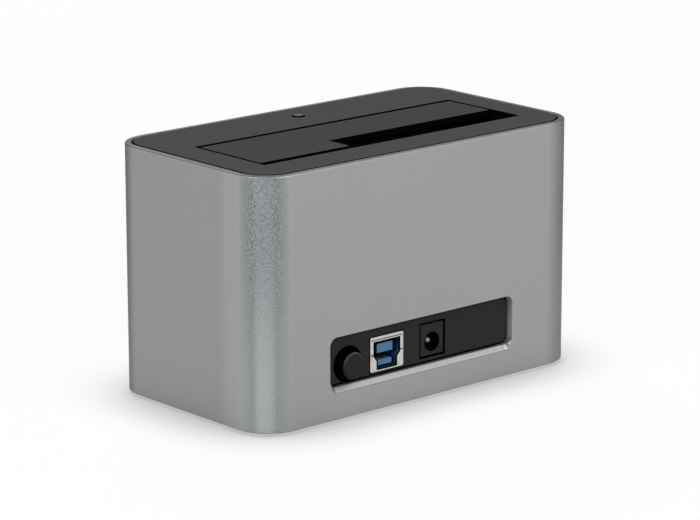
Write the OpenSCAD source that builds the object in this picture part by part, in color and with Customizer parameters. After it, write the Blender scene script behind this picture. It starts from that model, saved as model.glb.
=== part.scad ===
// Hard drive docking station: an aluminium tube with a sprung slot flap on top and ports at the rear
// Millimetres. X is the width, the rear with its ports faces +Y, Z is up from the feet

/* [Shell] */
// Width of the aluminium shell
shell_w = 134; // [131:0.5:146]
// Depth of the shell from front to rear
shell_d = 74.4; // [72.4:0.2:84]
// Height of the shell without the feet
shell_h = 80.2; // [76:0.2:95]
// Radius of the shell's upright corners
shell_r = 12.5; // [11:0.5:17]
// Wall of the extruded tube
shell_wall = 3; // [2.4:0.1:3.2]
// Width of the rim that shows round the two covers
rim_w = 2; // [1.3:0.1:2.1]
// Chamfer on the shell's outer edges
rim_c = 0.3; // [0.2:0.1:0.9]

/* [Rear window] */
// Width of the window in the rear wall
window_w = 77.6; // [76:0.2:86]
// Height of the window
window_h = 16.3; // [15.6:0.1:18.2]
// Centre of the window from the shell's centre, towards +X
window_x = 1.4; // [0:0.1:1.8]
// Bevel along the window's lower edge
sill_c = 1.5; // [0.5:0.1:1.7]
// Radius of the window's corners
window_r = 2.8; // [1.5:0.1:4]
// Depth of the rear panel's face behind the shell's face
panel_reveal = 2.2; // [1.8:0.1:2.5]
// Thickness of the rear panel
panel_t = 1.6; // [1.2:0.1:2]

/* [Covers] */
// Thickness of the top cover
cover_t = 2.6; // [2.2:0.1:3.2]
// Height of the top cover's face above the shell's rim
cover_proud = 0.3; // [0:0.1:0.6]
// Width of the dark gap round the top cover's face
shadow_gap = 0.6; // [0.3:0.1:0.8]
// Thickness of the base cover
base_t = 2.6; // [2.4:0.1:3.4]
// Height of the locating lip inside the base cover
lip_h = 3; // [2:0.5:4]
// Diameter of the rubber feet
foot_d = 9; // [7:0.5:11]
// Height of the feet below the shell
foot_proud = 1; // [0.8:0.1:2]

/* [Drive slot] */
// Width of the slot for 3.5-inch drives
slot_w = 107.6; // [105:0.2:109]
// Depth of the slot from front to rear
slot_d = 33.8; // [32:0.2:35]
// Centre of the slot behind the shell's centre
slot_y = 5.8; // [5.2:0.1:7]
// Width of the slot for 2.5-inch drives
notch_w = 70.4; // [70.2:0.2:74]
// Depth of the slot for 2.5-inch drives
notch_d = 13.2; // [11:0.2:16]
// Depth of the drive well's floor below the cover's face, at the usual shell and board heights
well_depth = 52.2; // [48:0.1:53]
// Wall of the drive guide
guide_wall = 1.5; // [1.2:0.1:1.9]

/* [Flap] */
// Thickness of the flap
flap_t = 2.2; // [1.8:0.1:2.6]
// Gap at the flap's free edge
flap_rear_gap = 3.2; // [1.5:0.1:3.5]
// Diameter of the hinge pin
pin_d = 1.8; // [1.5:0.1:2]
// Wire of the torsion spring
spring_wire = 0.5; // [0.4:0.05:0.6]
// Turns of the torsion spring
spring_turns = 5; // [3:1:8]

/* [Board] */
// Height of the main board's underside above the shell's lower edge
board_h = 22.7; // [22:0.1:25]
// Thickness of the main board
board_t = 1.6; // [1.2:0.2:2]
// Length of the SATA receptacle
sata_l = 42.4; // [41:0.2:44]
// Width of the SATA receptacle
sata_w = 5.4; // [5:0.1:6]
// Height of the SATA receptacle above the board
sata_h = 9.5; // [8.5:0.1:11]

/* [Ports] */
// Centre of the USB socket
usb_x = 15.1; // [12:0.1:16]
// Width of the USB socket
usb_w = 13.8; // [12.6:0.1:14.2]
// Height of the USB socket
usb_h = 11.2; // [10.8:0.1:12.8]
// Length of the USB socket
usb_len = 16.5; // [15:0.5:19]
// Centre of the DC jack
dc_x = -4.3; // [-8:0.1:-3]
// Width of the DC jack
dc_w = 9.6; // [9:0.1:11]
// Height of the DC jack
dc_h = 10.2; // [9.8:0.1:12]
// Diameter of the DC jack's bore
dc_bore_d = 6.4; // [6:0.1:7]
// Diameter of the DC jack's centre pin
dc_pin_d = 2.1; // [1.6:0.1:2.5]

/* [Power button] */
// Centre of the power button
button_x = 31.2; // [29:0.1:32]
// Diameter of the power button
button_d = 8.6; // [8:0.1:9.6]
// Diameter of the round well that the button stands in
button_well_d = 11.6; // [10.4:0.1:12.8]
// How far the button stands out of the shell's rear face
button_proud = 1; // [0.4:0.1:1.6]
// Travel of the button
button_travel = 2; // [1:0.1:2.4]

/* [Light] */
// Diameter of the light pipe's head
light_d = 4; // [3.4:0.1:5]
// Centre of the light behind the shell's front face
light_y = 13; // [11:0.1:15]

/* [Fits] */
// Gap between the covers and the shell's rim
cover_fit = 0.2; // [0.1:0.05:0.3]
// Gap round the flap
flap_fit = 1.2; // [0.35:0.05:1.2]
// Radial clearance of the hinge pin in the flap
pin_fit = 0.05; // [0.02:0.01:0.08]
// Gap round the ports in the rear panel
port_fit = 0.3; // [0.2:0.05:0.5]
// Gap round the DC jack
dc_fit = 0.7; // [0.3:0.05:0.9]
// Clearance of the switch plunger on each side
plunger_fit = 0.2; // [0.1:0.05:0.3]

/* [Hidden] */
$fn = 64;
eps = 0.01;

// Levels of the shell and its covers
shell_low = foot_proud;
shell_top = shell_low + shell_h;
cover_top = shell_top + cover_proud;
cover_under = cover_top - cover_t;
base_top = shell_low + base_t;
lip_top = base_top + lip_h;

// Inside of the tube, and the rebates that the covers sit in
in_x = shell_w / 2 - shell_wall;
in_y = shell_d / 2 - shell_wall;
in_r = shell_r - shell_wall;
rebate_w = shell_w - 2 * rim_w;
rebate_d = shell_d - 2 * rim_w;
rebate_r = shell_r - rim_w;
plate_w = rebate_w - 2 * cover_fit;
plate_d = rebate_d - 2 * cover_fit;
plate_r = rebate_r - cover_fit;
plate_c = 0.3;
face_w = rebate_w - 2 * shadow_gap;
face_d = rebate_d - 2 * shadow_gap;
face_r = rebate_r - shadow_gap;
shadow_depth = 1.2;

// Edges of the slot; the 2.5-inch slot is at its -X, rear corner
slot_hx = slot_w / 2;
slot_far = slot_y - slot_d / 2;
slot_near = slot_y + slot_d / 2;
notch_x = notch_w - slot_hx;
notch_y = slot_near - notch_d;

// Flap: its hinge lies along the front edge of the slot, below the cover
flap_top = cover_top;
flap_under = flap_top - flap_t;
flap_hx = slot_hx - flap_fit;
flap_far = slot_far + flap_fit;
flap_near = slot_near - flap_rear_gap;
flap_round = 1;
barrel_wall = 0.95;
barrel_r = pin_d / 2 + pin_fit + barrel_wall;
barrel_l = 12;
barrel_inset = 1;
coil_r = pin_d / 2 + 0.35 + spring_wire / 2;
spring_gap = 0.1;
pin_y = flap_far + barrel_r;
pin_z = min(cover_under, flap_under) - spring_gap - coil_r - spring_wire / 2;
flap_reach = flap_near - pin_y;
stop_fit = 0.3;
stop_t = 1.2;
stop_out = 1.2;
stop_from = 6;
stop_to = 16;
stop_y = [pin_y + stop_from, pin_y + stop_to];
flap_rib = 1.2;
flap_rib_inset = 4;

// Ears under the cover that hold the pin, outside the flap's ends
ear_t = 1.6;
ear_gap = 0.1;
ear_r = pin_d / 2 + 1.6;
ear_x = slot_hx + ear_gap;

// Torsion spring: the wire's coils lie on the pin, beside the middle barrel
spring_pitch = spring_wire + 0.45;
spring_leg_out = 9;
spring_leg_back = 5;
spring_x = barrel_l / 2 + 1;

// Drive guide: a well below the slot, wide enough for the ears
guide_fit = 0.3;
guide_hx = ear_x + ear_t + guide_fit;
guide_far = pin_y - spring_leg_back - 2 * guide_fit;
guide_near = slot_near;
guide_out_x = guide_hx + guide_wall;
guide_out_far = guide_far - guide_wall;
guide_out_near = guide_near + guide_wall;
floor_t = 2;
rib_t = 2;
rib_from_far = 12;
rib_from_near = 8;
rib_top = pin_z - flap_reach - flap_rib - 1.5;

// Drives that the guide's ribs steer: width, thickness and clearance on each side
drive35_w = 101.6;
drive35_t = 26.1;
drive_fit = 0.3;
drive_side = -slot_hx + drive_fit;
drive_face = guide_near - drive_fit;

// Posts that the base screws into, at the tube's corners
lip_fit = 0.2;
lip_t = 1.2;
post_r = 3.2;
post_fit = 0.3;
post_out = (in_r - lip_fit - lip_t - post_fit - post_r) / sqrt(2);
post_x = in_x - in_r + post_out;
post_y = in_y - in_r + post_out;
post_web = 2;

// Screws: shank radius, head radius and head height
shank_r = 1.15;
head_r = 2;
head_h = 1.5;
hole_fit = 0.15;
boss_r = 2.4;
boss_l = 8;
boss_x = 40;
boss_gap = 2;
lug_t = 2.5;
lug_r = boss_r + 0.2;
lug_top = cover_under - boss_l;
base_screw_l = 10;
base_sink = head_h + 0.1;

// Main board, hung under the well's floor
board_z = shell_low + board_h;
board_top = board_z + board_t;
panel_back = in_y - 0.1 - panel_t;
board_hx = post_x - post_r - 1.4;
board_rear = panel_back - 0.4;
board_margin = 5;
board_front = -(in_y - board_margin);
board_edge = 5;
board_screw_x = board_hx - board_edge;
board_boss_r = 3;

// Floor of the well: it moves with the board, so that the receptacle always stands out of it
usual_shell_h = 80.2;
usual_board_h = 22.7;
floor_top = shell_low + usual_shell_h + cover_proud - well_depth + board_h - usual_board_h;
floor_under = floor_top - floor_t;

// SATA receptacle, in line with both sizes of drive
drive_to_plug_x = 26.2;
drive_to_plug_y = 3.5;
sata_x = drive_side + drive_to_plug_x;
sata_y = drive_face - drive_to_plug_y;
sata_foot_h = 2;
sata_foot_out = 0.6;
sata_cut = sata_foot_out + 0.4;
board_screw_y = [guide_far + 7, sata_y - sata_w / 2 - sata_cut - board_boss_r - 0.8];
sata_pitch = 1.27;
power_pins = 15;
signal_pins = 7;
slot_end = 0.8;
power_l = power_pins * sata_pitch + 2 * slot_end;
signal_l = signal_pins * sata_pitch + 2 * slot_end;
key_gap = 3.2;
sata_slot_w = 1.9;
sata_slot_depth = 5.6;
sata_slots_l = power_l + key_gap + signal_l;
power_x = sata_x - sata_slots_l / 2;
signal_x = power_x + power_l + key_gap;
contact_w = 0.7;
contact_t = 0.3;
contact_fit = 0.02;

// Rear window and panel, placed from the board that carries the ports
window_over = 3.65;
window_top = board_z + window_over;
window_low = window_top - window_h;
window_z = (window_top + window_low) / 2;
sill_turn = 225;
sill_in = 0.35;
sill_span = 3 * window_r + 2 * sill_c;
panel_face = shell_d / 2 - panel_reveal;
panel_flange = 4;
panel_low = lip_top + 0.1;
panel_over = 3;
panel_high = window_top + panel_over;
pad_fit = 0.8;
finger_w = 4;
finger_t = 1.4;
finger_gap = 2;
finger_top = board_z - finger_gap;

// USB socket, hanging under the board with its wide part up
usb_z = board_z - usb_h / 2;
usb_face = panel_face + 0.2;
usb_sheet = 0.45;
usb_side = 1.7;
usb_lip = 1.9;
usb_sill = 0.85;
usb_step = 1.3;
usb_neck_h = 2.65;
usb_bevel = 1.6;
usb_low = usb_z - usb_h / 2;
usb_depth = 10.5;
usb_tongue_back = 1;

// DC jack, hanging under the board
dc_leaf_slot = 0.5;
dc_z = board_z - dc_h / 2;
dc_floor = 0.5;
dc_bore_z = board_z - dc_h + dc_floor + dc_leaf_slot + dc_bore_d / 2;
dc_sink = 0.2;
dc_face = panel_face - dc_sink;
dc_len = 14.2;
dc_tip = 1.4;
dc_bore_l = 9.5;
dc_leaf_w = 3;
dc_leaf_t = 0.3;
dc_leaf_l = 8;

// Button, plunger and switch
button_drop = 6.4;
button_z = board_z - button_drop;
button_face = shell_d / 2 + button_proud;
button_len = 10;
button_back = button_face - button_len;
button_c = 0.5;
switch_w = 9;
switch_half = 4.6;
switch_low = button_z - switch_half;
switch_gap = 1.4;
switch_front = button_back - button_travel - switch_gap;
switch_len = 13;
plunger_w = 3;
plunger_in = 8;
plunger_socket = 5;

// Light pipe and the light below it
light_sink = 1.4;
light_proud = 0.4;
light_head_h = light_sink + light_proud;
light_fit = 0.3;
light_shaft_r = light_d / 2 - 0.4;
light_boss_r = light_shaft_r + 1.4;
light_boss_l = 6;
status_light_h = 0.9;
status_light_w = 3.2;
status_light_d = 1.6;
light_at = light_y - shell_d / 2;

// Places of the parts under the board
chip_at = [-28, 8];
inductor_at = [-8, -6];
capacitors_at = [[4, -8], [13, -8]];
crystal_at = [-28, -6];

// Feet
foot_sink = 0.8;
foot_c = 0.4;
foot_in_x = 21;
foot_in_y = 12.8;

// Outline of half a bar or of a revolved corner, with chamfers at top and bottom
function edge_side(half, h, top_c, low_c) = concat(
    low_c > 0 ? [[half - low_c, 0], [half, low_c]] : [[half, 0]],
    top_c > 0 ? [[half, h - top_c], [half - top_c, h]] : [[half, h]]
);
function mirrored(points) = [for (i = [len(points) - 1 : -1 : 0]) [-points[i][0], points[i][1]]];

// Slab with round upright corners and chamfered edges, standing on z = 0
module slab(w, d, h, r, top_c = 0, low_c = 0) {
    corner = edge_side(r, h, top_c, low_c);
    across = edge_side(w / 2, h, top_c, low_c);
    along = edge_side(d / 2, h, top_c, low_c);
    for (sx = [-1, 1], sy = [-1, 1])
        translate([sx * (w / 2 - r), sy * (d / 2 - r), 0])
            rotate_extrude() polygon(concat([[0, 0]], corner, [[0, h]]));
    translate([0, d / 2 - r, 0])
        rotate([90, 0, 0])
            linear_extrude(d - 2 * r) polygon(concat(across, mirrored(across)));
    translate([-(w / 2 - r), 0, 0])
        rotate([90, 0, 90])
            linear_extrude(w - 2 * r) polygon(concat(along, mirrored(along)));
}

module round_rect(w, d, r) {
    square([w - 2 * r, d], center = true);
    square([w, d - 2 * r], center = true);
    for (sx = [-1, 1], sy = [-1, 1])
        translate([sx * (w / 2 - r), sy * (d / 2 - r)]) circle(r);
}

// Block between two corners
module block(low, high) {
    translate(low) cube(high - low);
}

// Rod along X or Y
module rod_x(x0, x1, y, z, r) {
    translate([x0, y, z]) rotate([0, 90, 0]) cylinder(r = r, h = x1 - x0);
}
module rod_y(x, y0, y1, z, r) {
    translate([x, y0, z]) rotate([-90, 0, 0]) cylinder(r = r, h = y1 - y0);
}

// Pan-head screw that points up, with its shank starting at z = 0 and a cross recess in its head
module screw(length) {
    recess_w = 0.6;
    recess_l = 2.6;
    recess_h = 0.8;
    difference() {
        union() {
            cylinder(r = shank_r, h = length);
            translate([0, 0, -head_h])
                rotate_extrude() polygon([[0, 0], [head_r - 0.4, 0], [head_r, 0.4], [head_r, head_h], [0, head_h]]);
        }
        for (turn = [0, 90])
            rotate([0, 0, turn])
                translate([-recess_l / 2, -recess_w / 2, -head_h - eps]) cube([recess_l, recess_w, recess_h]);
    }
}

module at_posts() {
    for (sx = [-1, 1], sy = [-1, 1]) translate([sx * post_x, sy * post_y, 0]) children();
}
function boss_y(side) = side > 0 ? (guide_out_near + in_y) / 2 : guide_out_far - boss_gap - boss_r;
module at_bosses() {
    for (sx = [-1, 1], side = [-1, 1]) translate([sx * boss_x, boss_y(side), 0]) children();
}
module at_board_screws() {
    for (sx = [-1, 1], y = board_screw_y) translate([sx * board_screw_x, y, 0]) children();
}
module at_feet() {
    for (sx = [-1, 1], sy = [-1, 1])
        translate([sx * (shell_w / 2 - foot_in_x), sy * (shell_d / 2 - foot_in_y), 0]) children();
}

// Extruded tube with a rebate at each end and the window in its rear wall
module aluminium_shell() {
    color("#9a9c98")
    difference() {
        translate([0, 0, shell_low]) slab(shell_w, shell_d, shell_h, shell_r, rim_c, rim_c);
        translate([0, 0, shell_low - eps])
            linear_extrude(shell_h + 2 * eps) round_rect(2 * in_x, 2 * in_y, in_r);
        translate([0, 0, cover_under])
            linear_extrude(cover_t - cover_proud + eps) round_rect(rebate_w, rebate_d, rebate_r);
        translate([0, 0, shell_low - eps])
            linear_extrude(base_t + eps) round_rect(rebate_w, rebate_d, rebate_r);
        translate([window_x, shell_d / 2 + 1, window_z])
            rotate([90, 0, 0])
                linear_extrude(shell_wall + 2) round_rect(window_w, window_h, window_r);
        translate([window_x, shell_d / 2 - sill_c, window_low])
            rotate([sill_turn, 0, 0])
                translate([0, -sill_span / 2, -window_r])
                    linear_extrude(window_r + 4 * sill_c) round_rect(window_w - 2 * sill_in, sill_span, window_r);
    }
}

// Stepped plate in the shell's upper rebate, with the slot, the hinge ears and the bosses for the guide
module top_cover() {
    ear_low = pin_z - ear_r;
    color("#4c4d4f")
    difference() {
        union() {
            translate([0, 0, cover_under]) slab(plate_w, plate_d, cover_t - cover_proud - shadow_depth, plate_r);
            translate([0, 0, cover_under]) slab(face_w, face_d, cover_t, face_r, plate_c);
            for (side = [-1, 1]) {
                x0 = side > 0 ? ear_x : -ear_x - ear_t;
                block([x0, pin_y - ear_r, pin_z], [x0 + ear_t, pin_y + ear_r, cover_under + eps]);
                rod_x(x0, x0 + ear_t, pin_y, pin_z, ear_r);
            }
            at_bosses() translate([0, 0, lug_top]) cylinder(r = boss_r, h = boss_l + eps);
            translate([0, light_at, cover_under - light_boss_l]) cylinder(r = light_boss_r, h = light_boss_l + eps);
        }
        block([-slot_hx, slot_far, cover_under - eps], [slot_hx, slot_near, cover_top + eps]);
        rod_x(-ear_x - ear_t - eps, ear_x + ear_t + eps, pin_y, pin_z, pin_d / 2);
        at_bosses() translate([0, 0, lug_top - eps]) cylinder(r = shank_r, h = boss_l - 0.6);
        translate([0, light_at, cover_under - light_boss_l - eps])
            cylinder(r = light_shaft_r, h = light_boss_l + cover_t + 2 * eps);
        translate([0, light_at, cover_top - light_sink]) cylinder(r = light_d / 2 + light_fit, h = light_sink + eps);
    }
}

// L-shaped flap with three hinge barrels, end stops and stiffening ribs below
module slot_flap() {
    rib_low = flap_under - flap_rib;
    stop_top = cover_under - stop_fit;
    barrel_x = flap_hx - barrel_inset - barrel_l;
    color("#4a4b4d")
    difference() {
        union() {
            translate([0, 0, flap_under])
                linear_extrude(flap_t)
                    polygon([
                        [-flap_hx, flap_far], [flap_hx, flap_far], [flap_hx, flap_near],
                        [notch_x, flap_near], [notch_x, notch_y], [-flap_hx, notch_y]
                    ]);
            for (x0 = [-flap_hx + barrel_inset, -barrel_l / 2, barrel_x]) {
                rod_x(x0, x0 + barrel_l, pin_y, pin_z, barrel_r);
                block([x0, pin_y - barrel_r, pin_z], [x0 + barrel_l, pin_y + barrel_r, flap_under + eps]);
            }
            for (side = [-1, 1]) {
                edge = side * flap_hx;
                out = side * (flap_hx + flap_fit + stop_out);
                wall = side * (flap_hx - flap_rib);
                block([min(wall, out), stop_y[0], stop_top - stop_t], [max(wall, out), stop_y[1], stop_top]);
                block([min(wall, edge), stop_y[0], stop_top - stop_t], [max(wall, edge), stop_y[1], flap_under + eps]);
            }
            block([-flap_hx + flap_rib_inset, notch_y - flap_rib_inset, rib_low],
                  [flap_hx - flap_rib_inset, notch_y - flap_rib_inset + flap_rib, flap_under + eps]);
            block([notch_x + flap_rib_inset, flap_near - flap_rib_inset, rib_low],
                  [flap_hx - flap_rib_inset, flap_near - flap_rib_inset + flap_rib, flap_under + eps]);
        }
        rod_x(-flap_hx - eps, flap_hx + eps, pin_y, pin_z, pin_d / 2 + pin_fit);
        difference() {
            block([-flap_hx - eps, flap_far - eps, flap_top - flap_round],
                  [flap_hx + eps, flap_far + flap_round, flap_top + eps]);
            rod_x(-flap_hx - 2 * eps, flap_hx + 2 * eps, flap_far + flap_round, flap_top - flap_round, flap_round);
        }
    }
}

module hinge_pin() {
    color("#b8bbbd") rod_x(-ear_x - ear_t, ear_x + ear_t, pin_y, pin_z, pin_d / 2);
}

// Points of the spring's wire: a leg under the flap, the coils, and a leg under the cover
steps_per_turn = 16;
function spring_point(i) =
    let (a = 90 + i * 360 / steps_per_turn)
    [spring_x + spring_pitch * i / steps_per_turn, pin_y + coil_r * cos(a), pin_z + coil_r * sin(a)];
spring_path = concat(
    [[spring_x, pin_y + spring_leg_out, pin_z + coil_r]],
    [for (i = [0 : spring_turns * steps_per_turn]) spring_point(i)],
    [[spring_x + spring_pitch * spring_turns, pin_y - spring_leg_back, pin_z + coil_r]]
);

// Tube swept along points that all turn about an axis parallel to X
wire_sides = 6;
function unit(v) = v / norm(v);
function path_dir(p, i) = unit(p[min(i + 1, len(p) - 1)] - p[max(i - 1, 0)]);
function wire_ring(p, i, r) =
    let (d = path_dir(p, i), side = unit(cross(d, [1, 0, 0])), up = cross(side, d))
    [for (k = [0 : wire_sides - 1])
        p[i] + r * cos(k * 360 / wire_sides) * side + r * sin(k * 360 / wire_sides) * up];
module wire(p, r) {
    n = len(p);
    s = wire_sides;
    points = [for (i = [0 : n - 1]) each wire_ring(p, i, r)];
    walls = [for (i = [0 : n - 2], k = [0 : s - 1])
        let (a = i * s + k, b = i * s + (k + 1) % s)
        each [[a, b, b + s], [a, b + s, a + s]]];
    caps = [for (k = [1 : s - 2]) each [[0, k + 1, k], [(n - 1) * s, (n - 1) * s + k, (n - 1) * s + k + 1]]];
    polyhedron(points, concat(walls, caps));
}
module flap_spring() {
    color("#a4a6a8") wire(spring_path, spring_wire / 2);
}

// Clear rod from the board's light up to its head in the cover
module light_pipe() {
    low = board_top + status_light_h + 0.3;
    head = cover_top - light_sink;
    color("#8d8f92")
    translate([0, light_at, 0]) {
        translate([0, 0, low]) cylinder(r = light_shaft_r, h = head - low + eps);
        translate([0, 0, head])
            rotate_extrude()
                polygon([[0, 0], [light_d / 2, 0], [light_d / 2, light_head_h - 0.3],
                         [light_d / 2 - 0.4, light_head_h], [0, light_head_h + 0.15]]);
    }
}

// Moulded well with its floor, side posts for the base screws, and lugs for the cover's bosses
module drive_guide() {
    boss_low = board_top;
    color("#26272a")
    difference() {
        union() {
            block([-guide_out_x, guide_out_far, floor_under], [guide_out_x, guide_out_near, cover_under]);
            at_posts() translate([0, 0, base_top]) cylinder(r = post_r, h = cover_under - base_top);
            for (sx = [-1, 1], sy = [-1, 1]) {
                wall = sx * (guide_out_x - guide_wall / 2);
                y0 = sy > 0 ? guide_out_near - guide_wall : guide_out_far + guide_wall;
                block([wall - guide_wall / 2, min(y0, sy * post_y), floor_under],
                      [wall + guide_wall / 2, max(y0, sy * post_y), cover_under]);
                block([min(wall, sx * post_x), sy * post_y - post_web / 2, floor_under],
                      [max(wall, sx * post_x), sy * post_y + post_web / 2, cover_under]);
            }
            for (sx = [-1, 1], side = [-1, 1]) {
                y0 = side > 0 ? guide_out_near - guide_wall : guide_out_far + guide_wall;
                translate([0, 0, lug_top - lug_t])
                    block([sx * boss_x - lug_r, min(y0, boss_y(side)), 0],
                          [sx * boss_x + lug_r, max(y0, boss_y(side)), lug_t]);
            }
            at_bosses() translate([0, 0, lug_top - lug_t]) cylinder(r = lug_r, h = lug_t);
            at_board_screws() translate([0, 0, boss_low]) cylinder(r = board_boss_r, h = floor_under - boss_low + eps);
        }
        difference() {
            block([-guide_hx, guide_far, floor_top], [guide_hx, guide_near, cover_under + eps]);
            guide_ribs();
        }
        at_bosses() translate([0, 0, lug_top - lug_t - eps]) cylinder(r = shank_r + hole_fit, h = lug_t + 2 * eps);
        at_posts() translate([0, 0, base_top - eps]) cylinder(r = shank_r, h = base_screw_l + 1);
        at_board_screws() translate([0, 0, boss_low - eps]) cylinder(r = shank_r, h = floor_under - boss_low + 1.4);
        block([sata_x - sata_l / 2 - sata_cut, sata_y - sata_w / 2 - sata_cut, floor_under - eps],
              [sata_x + sata_l / 2 + sata_cut, sata_y + sata_w / 2 + sata_cut, floor_top + eps]);
    }
}

// Ribs low in the well that steer a 3.5-inch drive on to the receptacle, with sloped tops
module guide_ribs() {
    side_y = [guide_far + rib_from_far, guide_near - rib_from_near];
    lead = 3;
    low_x = drive_side - drive_fit;
    high_x = drive_side + drive35_w + drive_fit;
    front_y = drive_face - drive35_t - drive_fit;
    for (y = side_y) {
        translate([-guide_hx, y, floor_top]) rib(low_x + guide_hx, rib_top - floor_top, lead);
        translate([guide_hx, y, floor_top]) mirror([1, 0, 0]) rib(guide_hx - high_x, rib_top - floor_top, lead);
    }
    for (sx = [-1, 1])
        translate([sx * slot_hx / 2, guide_far, floor_top])
            rotate([0, 0, 90]) rib(front_y - guide_far, rib_top - floor_top, lead);
}
module rib(reach, h, lead) {
    translate([0, rib_t / 2, 0])
        rotate([90, 0, 0])
            linear_extrude(rib_t)
                polygon([[-eps, -eps], [reach, -eps], [reach, h - lead], [reach - min(lead, reach - eps), h], [-eps, h]]);
}

module guide_screws() {
    color("#c9cbcc") at_bosses() translate([0, 0, lug_top - lug_t]) screw(lug_t + boss_l - 2);
}

module main_board() {
    color("#1d5b3a")
    difference() {
        block([-board_hx, board_front, board_z], [board_hx, board_rear, board_top]);
        at_board_screws() translate([0, 0, board_z - eps]) cylinder(r = shank_r + hole_fit, h = board_t + 2 * eps);
    }
}

module board_screws() {
    color("#c9cbcc") at_board_screws() translate([0, 0, board_z]) screw(board_t + floor_under - board_top + 1);
}

// Places of the contacts along the receptacle
function contact_places() = concat(
    [for (i = [0 : power_pins - 1]) power_x + slot_end + (i + 0.5) * sata_pitch],
    [for (i = [0 : signal_pins - 1]) signal_x + slot_end + (i + 0.5) * sata_pitch]
);

// Receptacle with two L-shaped slots, power towards -X and signal towards +X
module sata_housing() {
    low = board_top;
    floor_z = low + sata_h - sata_slot_depth;
    key_w = 1.3;
    key_out = 1.1;
    slot_y0 = sata_y - sata_slot_w / 2;
    color("#1b1c1e")
    difference() {
        union() {
            translate([sata_x, sata_y, low]) slab(sata_l, sata_w, sata_h, 0.8, 0.5);
            translate([sata_x, sata_y, low])
                slab(sata_l + 2 * sata_foot_out, sata_w + 2 * sata_foot_out, sata_foot_h, 0.8);
        }
        for (s = [[power_x, power_l, 0], [signal_x, signal_l, 1]]) {
            block([s[0], slot_y0, floor_z], [s[0] + s[1], slot_y0 + sata_slot_w, low + sata_h + eps]);
            key_x = s[2] == 0 ? s[0] : s[0] + s[1] - key_w;
            block([key_x, slot_y0 - key_out, floor_z], [key_x + key_w, slot_y0 + eps, low + sata_h + eps]);
        }
        for (x = contact_places())
            block([x - contact_w / 2 - contact_fit, sata_y + sata_slot_w / 2 - contact_t - contact_fit, low - eps],
                  [x + contact_w / 2 + contact_fit, sata_y + sata_slot_w / 2 + eps, floor_z + eps]);
    }
}

module sata_contacts() {
    top = board_top + sata_h - 1.2;
    color("#c8a14a")
    for (x = contact_places())
        block([x - contact_w / 2, sata_y + sata_slot_w / 2 - contact_t, board_top],
              [x + contact_w / 2, sata_y + sata_slot_w / 2, top]);
}

// Outline of the socket's mouth, wide above and narrow below, about the socket's middle
module usb_mouth() {
    top = usb_h / 2 - usb_lip;
    low = -usb_h / 2 + usb_sill;
    wide = usb_w / 2 - usb_side;
    neck = wide - usb_step;
    side = [[wide, top], [wide, low + usb_neck_h + usb_bevel], [neck, low + usb_neck_h], [neck, low]];
    polygon(concat(side, mirrored(side)));
}

// Extrusion along -Y of a shape drawn as seen from the rear, from the plane y = face
module inward(x, face, z, length) {
    translate([x, face, z]) rotate([90, 0, 0]) linear_extrude(length) children();
}

module usb_shell() {
    color("#c4c6c8")
    difference() {
        inward(usb_x, usb_face, usb_z, usb_len) round_rect(usb_w, usb_h, 0.6);
        inward(usb_x, usb_face - usb_sheet, usb_z, usb_len)
            square([usb_w - 2 * usb_sheet, usb_h - 2 * usb_sheet], center = true);
        inward(usb_x, usb_face + eps, usb_z, usb_len) usb_mouth();
    }
}

module usb_housing() {
    front = usb_face - usb_sheet;
    color("#1d4f86")
    difference() {
        inward(usb_x, front, usb_z, usb_len - usb_sheet)
            square([usb_w - 2 * usb_sheet, usb_h - 2 * usb_sheet], center = true);
        inward(usb_x, front + eps, usb_z, usb_depth) usb_mouth();
    }
}

// The tongues: the thick upper one for the old contacts, the thin lower one for the fast ones
usb_upper = [6.6, 3];
usb_lower = [5.8, 1.8];
usb_upper_up = 7;
usb_lower_up = 2.35;
usb_upper_z = usb_low + usb_upper_up;
usb_lower_z = usb_low + usb_lower_up;
usb_tongue_root = usb_face - usb_sheet - usb_depth + eps;
module usb_tongues() {
    color("#2f6fb5")
    for (t = [[usb_upper, usb_upper_z], [usb_lower, usb_lower_z]])
        block([usb_x - t[0][0] / 2, usb_tongue_root, t[1] - t[0][1] / 2],
              [usb_x + t[0][0] / 2, usb_face - usb_tongue_back, t[1] + t[0][1] / 2]);
}

module usb_contacts() {
    strip_t = 0.2;
    strip_w = 0.8;
    strip_end = usb_face - usb_tongue_back - 1;
    small_w = 0.5;
    wide_pitch = 2.5;
    small_pitch = 0.9;
    color("#c8a14a") {
        for (sx = [-1, 1], sz = [-1, 1])
            translate([usb_x + sx * wide_pitch / 2, usb_tongue_root, usb_upper_z + sz * (usb_upper[1] + strip_t) / 2])
                block([-strip_w / 2, 0, -strip_t / 2], [strip_w / 2, strip_end - usb_tongue_root, strip_t / 2]);
        for (i = [-2 : 2])
            translate([usb_x + i * small_pitch, usb_tongue_root, usb_lower_z + (usb_lower[1] + strip_t) / 2])
                block([-small_w / 2, 0, -strip_t / 2], [small_w / 2, strip_end - usb_tongue_root, strip_t / 2]);
    }
}

module dc_jack_body() {
    slot_low = dc_bore_z - dc_bore_d / 2 - dc_leaf_slot;
    color("#1c1d1f")
    difference() {
        inward(dc_x, dc_face, dc_z, dc_len) square([dc_w, dc_h], center = true);
        rod_y(dc_x, dc_face - dc_bore_l, dc_face + eps, dc_bore_z, dc_bore_d / 2);
        block([dc_x - dc_leaf_w / 2 - 0.1, dc_face - dc_bore_l, slot_low],
              [dc_x + dc_leaf_w / 2 + 0.1, dc_face - dc_bore_l + dc_leaf_l + 0.2, dc_bore_z]);
    }
}

module dc_jack_pin() {
    tip = 0.6;
    root = dc_face - dc_bore_l;
    length = dc_bore_l - dc_tip;
    color("#d4d6d8")
    translate([dc_x, root, dc_bore_z])
        rotate([-90, 0, 0])
            rotate_extrude()
                polygon([[0, 0], [dc_pin_d / 2, 0], [dc_pin_d / 2, length - tip],
                         [dc_pin_d / 2 - tip, length], [0, length]]);
}

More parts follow.
